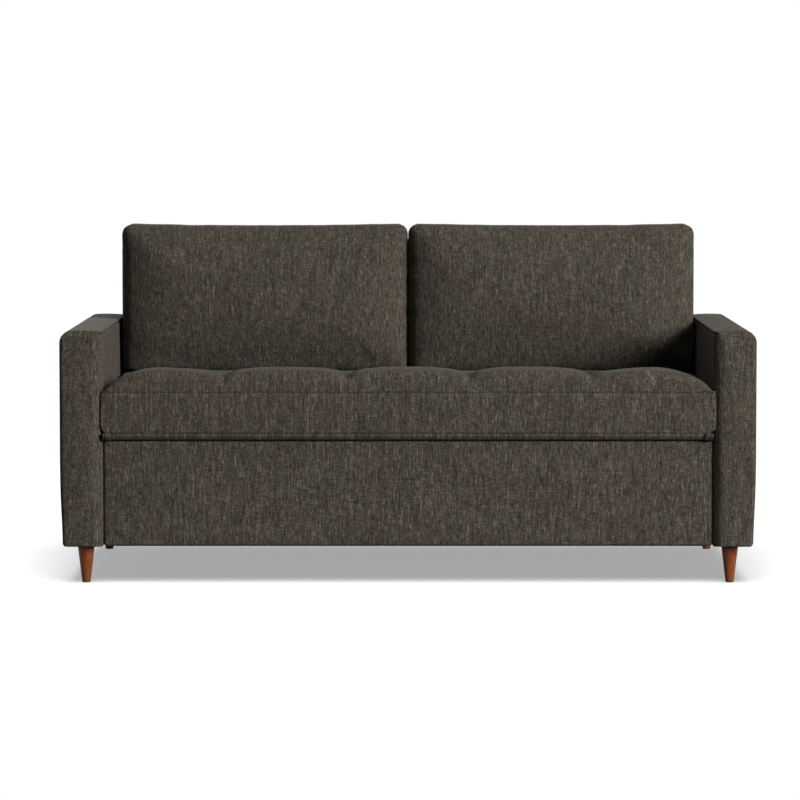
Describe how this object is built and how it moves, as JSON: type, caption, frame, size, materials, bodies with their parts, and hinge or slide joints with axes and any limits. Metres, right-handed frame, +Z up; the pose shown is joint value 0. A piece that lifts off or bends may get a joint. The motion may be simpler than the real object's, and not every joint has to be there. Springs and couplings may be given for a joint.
{
  "type": "sleeper sofa",
  "caption": "Upholstered sofa with straight arms, a tufted bench seat and two back cushions on tapered wooden legs, whose seat and back roll forward into a bed.",
  "frame": {"origin": "on the floor, below the centre of the sofa's outline", "axes": "+X to the viewer's right along the width, -Y is the front that a person sits at, +Z up"},
  "size_m": [1.85, 0.95, 0.94],
  "materials": {
    "upholstery": "charcoal heathered weave",
    "ticking": "plain mattress ticking",
    "leg_wood": "stained reddish brown, satin",
    "frame_wood": "planed softwood",
    "plywood": "birch plywood",
    "dust_cloth": "black non-woven cloth",
    "painted_steel": "dark powder coat",
    "pin_steel": "zinc plated"
  },
  "bodies": {
    "root": {"arm_cover_left": "upholstery", "arm_cover_right": "upholstery", "arm_frame_left": "frame_wood", "arm_frame_right": "frame_wood", "back_cover": "upholstery", "back_frame": "frame_wood", "back_wing_left": "upholstery", "back_wing_right": "upholstery", "front_cover": "upholstery", "front_rail": "frame_wood", "cross_rail_front": "frame_wood", "cross_rail_rear": "frame_wood", "dust_cover": "dust_cloth", "leg_front_left": "leg_wood", "leg_front_right": "leg_wood", "leg_rear_left": "leg_wood", "leg_rear_right": "leg_wood", "leg_plate_front_left": "pin_steel", "leg_plate_front_right": "pin_steel", "leg_plate_rear_left": "pin_steel", "leg_plate_rear_right": "pin_steel", "side_plate_left": "painted_steel", "side_plate_right": "painted_steel", "main_pin_left": "pin_steel", "main_pin_right": "pin_steel", "link_pin_left": "pin_steel", "link_pin_right": "pin_steel"},
    "seat": {"seat_band": "upholstery", "seat_deck": "plywood", "seat_cushion": "upholstery", "mattress_middle": "ticking", "seat_arm_left": "painted_steel", "seat_arm_right": "painted_steel", "back_pin_left": "pin_steel", "back_pin_right": "pin_steel", "fold_pin_left": "pin_steel", "fold_pin_right": "pin_steel", "mid_leg_pin_left": "pin_steel", "mid_leg_pin_right": "pin_steel"},
    "back": {"back_panel": "plywood", "back_cap": "upholstery", "back_cushion_left": "upholstery", "back_cushion_right": "upholstery", "mattress_foot": "ticking", "back_bar_left": "painted_steel", "back_bar_right": "painted_steel", "foot_leg_pin_left": "pin_steel", "foot_leg_pin_right": "pin_steel"},
    "head": {"head_deck": "plywood", "mattress_head": "ticking", "head_bar_left": "painted_steel", "head_bar_right": "painted_steel"},
    "rear_links": {"rear_link_left": "painted_steel", "rear_link_right": "painted_steel", "level_pin_left": "pin_steel", "level_pin_right": "pin_steel"},
    "mid_legs": {"mid_leg_left": "painted_steel", "mid_leg_right": "painted_steel"},
    "foot_legs": {"foot_leg_left": "painted_steel", "foot_leg_right": "painted_steel"}
  },
  "joints": [
    {"name": "bed_fold", "type": "hinge", "parent": "root", "child": "seat", "pos_m": [0, -0.4655, 0.3929], "axis": [1, 0, 0], "range_deg": [0, 180]},
    {"name": "back_fold", "type": "hinge", "parent": "seat", "child": "back", "pos_m": [0, 0.3032, 0.3929], "axis": [1, 0, 0], "range_deg": [-90, 0]},
    {"name": "head_level", "type": "hinge", "parent": "seat", "child": "head", "pos_m": [0, -0.412, 0.2676], "axis": [1, 0, 0], "range_deg": [-180, 0]},
    {"name": "rear_link_swing", "type": "hinge", "parent": "root", "child": "rear_links", "pos_m": [0, 0.13176, 0.2676], "axis": [1, 0, 0], "range_deg": [0, 180]},
    {"name": "mid_leg_fold", "type": "hinge", "parent": "seat", "child": "mid_legs", "pos_m": [0, 0.2682, 0.3929], "axis": [1, 0, 0], "range_deg": [-90, 0]},
    {"name": "foot_leg_fold", "type": "hinge", "parent": "back", "child": "foot_legs", "pos_m": [0, 0.3032, 0.8627], "axis": [1, 0, 0], "range_deg": [-90, 0]}
  ],
  "couplings": [
    {"joint": "back_fold", "follows": "bed_fold", "ratio": -0.5},
    {"joint": "head_level", "follows": "bed_fold", "ratio": -1},
    {"joint": "rear_link_swing", "follows": "bed_fold", "ratio": 1},
    {"joint": "mid_leg_fold", "follows": "bed_fold", "ratio": -0.5},
    {"joint": "foot_leg_fold", "follows": "bed_fold", "ratio": -0.5}
  ]
}
